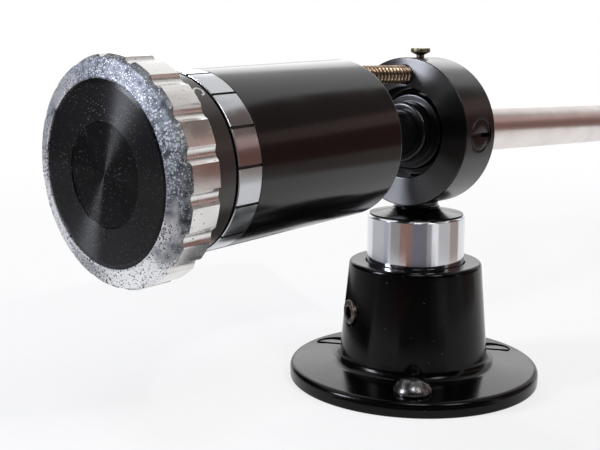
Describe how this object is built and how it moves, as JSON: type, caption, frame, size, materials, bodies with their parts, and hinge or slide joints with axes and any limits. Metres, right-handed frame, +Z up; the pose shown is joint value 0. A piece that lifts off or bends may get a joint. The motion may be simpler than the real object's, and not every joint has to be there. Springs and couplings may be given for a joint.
{
  "type": "tonearm",
  "caption": "Record player tonearm with an S-shaped tube, gimbal bearing ring on a height-adjustable pillar, plug-in headshell and sliding counterweight with a force dial.",
  "frame": {"origin": "centre of the mounting flange's underside, on the pillar's axis, where the arm stands on its board", "axes": "+X towards the headshell, +Y to the left seen from behind the weight, +Z up along the pillar"},
  "size_m": [0.3291, 0.0518, 0.1121],
  "materials": {
    "black_lacquer": "gloss black lacquer on cast metal",
    "black_satin": "semi-gloss black finish on turned aluminium",
    "black_anodised": "black anodised aluminium with turning marks",
    "chrome": "polished chrome plate",
    "satin_chrome": "satin chrome plate with black index lines",
    "steel": "plain machined steel",
    "brass": "plain brass, lightly tarnished",
    "polished_tube": "polished aluminium tube",
    "black_plastic": "moulded black insulator",
    "black_rubber": "soft black rubber"
  },
  "bodies": {
    "base": {"base_casting": "black_lacquer", "flange_screw_1": "chrome", "flange_screw_2": "chrome", "flange_screw_3": "chrome"},
    "height_screw": {"height_lock_screw": "steel"},
    "pillar": {"pillar_tube": "chrome", "pillar_cap": "black_lacquer", "upper_bearing_outer_ring": "steel", "lower_bearing_outer_ring": "steel", "upper_bearing_balls": "steel", "lower_bearing_balls": "steel", "output_socket": "black_plastic", "output_pin_1": "brass", "output_pin_2": "brass", "output_pin_3": "brass", "output_pin_4": "brass", "output_pin_5": "brass"},
    "housing": {"bearing_housing": "black_satin", "housing_spindle": "steel", "upper_bearing_inner_ring": "steel", "lower_bearing_inner_ring": "steel", "left_pivot_screw": "steel", "right_pivot_screw": "steel", "left_lock_ring": "black_satin", "right_lock_ring": "black_satin"},
    "guide_rod": {"threaded_guide_rod": "brass"},
    "clamp_screw": {"rod_clamp_screw": "steel"},
    "arm": {"pivot_block": "black_satin", "left_pivot_cup": "steel", "right_pivot_cup": "steel", "rear_sleeve": "black_satin", "damping_bush": "black_rubber", "arm_tube": "polished_tube", "headshell_socket": "chrome", "spring_contacts": "black_plastic", "rear_shaft": "steel"},
    "locking_ring": {"headshell_locking_ring": "chrome"},
    "headshell": {"headshell_plug": "chrome", "locating_pin": "steel", "headshell_gasket": "black_rubber", "headshell": "black_anodised", "lead_terminals": "black_plastic", "finger_lift": "chrome"},
    "weight": {"weight_body": "black_satin", "friction_sleeve": "black_plastic", "index_ring": "satin_chrome"},
    "dial": {"fluted_knob": "chrome", "digit_ring": "black_satin", "knob_inlay": "black_anodised", "lead_screw": "steel"},
    "sliding_weight": {"sliding_weight": "brass"}
  },
  "joints": [
    {"name": "pillar_height", "type": "slide", "parent": "base", "child": "pillar", "axis": [0, 0, 1], "range_m": [-0.008, 0.01]},
    {"name": "height_screw_turn", "type": "hinge", "parent": "base", "child": "height_screw", "pos_m": [-0.01292, 0.00658, 0.0149], "axis": [-0.891, 0.454, 0], "range_deg": [0, 360]},
    {"name": "arm_swing", "type": "hinge", "parent": "pillar", "child": "housing", "pos_m": [0, 0, 0.05155], "axis": [0, 0, 1], "range_deg": [-60, 20]},
    {"name": "arm_lift", "type": "hinge", "parent": "housing", "child": "arm", "pos_m": [0, 0, 0.05155], "axis": [0, -1, 0], "range_deg": [-8, 15]},
    {"name": "guide_rod_slide", "type": "slide", "parent": "housing", "child": "guide_rod", "axis": [1, 0, 0], "range_m": [0, 0.006]},
    {"name": "clamp_screw_turn", "type": "hinge", "parent": "housing", "child": "clamp_screw", "pos_m": [0, 0, 0.0672], "axis": [0, 0, 1], "range_deg": [0, 360]},
    {"name": "locking_ring_turn", "type": "hinge", "parent": "arm", "child": "locking_ring", "pos_m": [0.1899, 0.00811, 0.04625], "axis": [0.9301, -0.3665, -0.026], "range_deg": [0, 30]},
    {"name": "headshell_slide", "type": "slide", "parent": "arm", "child": "headshell", "axis": [0.9301, -0.3665, -0.026], "range_m": [0, 0.013]},
    {"name": "weight_slide", "type": "slide", "parent": "arm", "child": "weight", "axis": [-0.9992, 0, -0.0391], "range_m": [-0.002, 0.01]},
    {"name": "dial_turn", "type": "hinge", "parent": "weight", "child": "dial", "pos_m": [-0.06995, 0, 0.04993], "axis": [-0.9992, 0, -0.0391], "range_deg": [-240, 120]},
    {"name": "sliding_weight_travel", "type": "slide", "parent": "weight", "child": "sliding_weight", "axis": [-0.9992, 0, -0.0391], "range_m": [-0.0027, 0.0054]}
  ],
  "couplings": [
    {"joint": "sliding_weight_travel", "follows": "dial_turn", "m_per_rad": -0.0012732}
  ]
}
